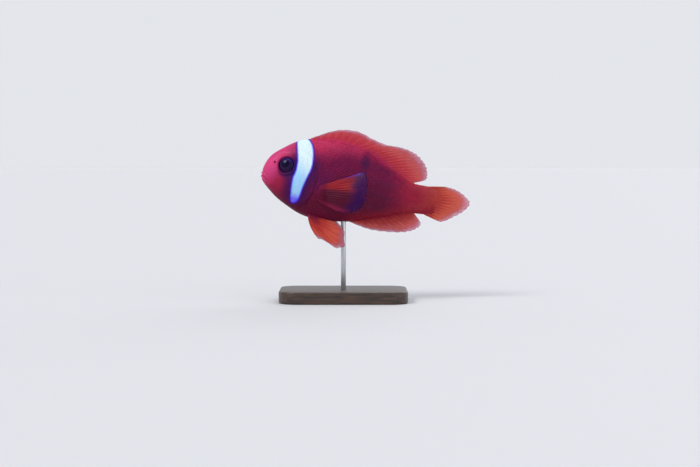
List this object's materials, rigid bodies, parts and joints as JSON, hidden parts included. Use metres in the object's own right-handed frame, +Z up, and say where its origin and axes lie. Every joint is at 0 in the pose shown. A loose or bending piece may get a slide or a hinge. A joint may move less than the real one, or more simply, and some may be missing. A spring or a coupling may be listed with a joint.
{
  "type": "tomato clownfish model",
  "caption": "Still life-size model of a small deep-bodied reef fish with a white head bar, swimming, held by a rod on a flat base.",
  "frame": {"origin": "centre of the base's underside, straight below the rod", "axes": "+Z up, the fish heads towards -X with its nose raised 8.9 degrees, its left side looks towards -Y"},
  "size_m": [0.105, 0.042, 0.0858],
  "materials": {
    "skin": "satin, wet-looking scaled skin, red to maroon with one white bar",
    "fin": "satin orange-red fin membrane over rays",
    "eye": "polished dark eye with a clear gloss coat",
    "stand_wood": "satin dark-stained hardwood",
    "stand_steel": "brushed along its length"
  },
  "bodies": {
    "root": {"head": "skin", "lower_jaw": "skin", "gill_cover_left": "skin", "gill_cover_right": "skin", "eye_left": "eye", "eye_right": "eye", "trunk": "skin", "tail_stalk": "skin", "dorsal_fin_spiny": "fin", "dorsal_fin_soft": "fin", "anal_fin": "fin", "caudal_fin": "fin", "pectoral_fin_left": "fin", "pectoral_fin_right": "fin", "pelvic_fin_left": "fin", "pelvic_fin_right": "fin", "stand_base": "stand_wood", "stand_rod": "stand_steel"}
  },
  "joints": []
}
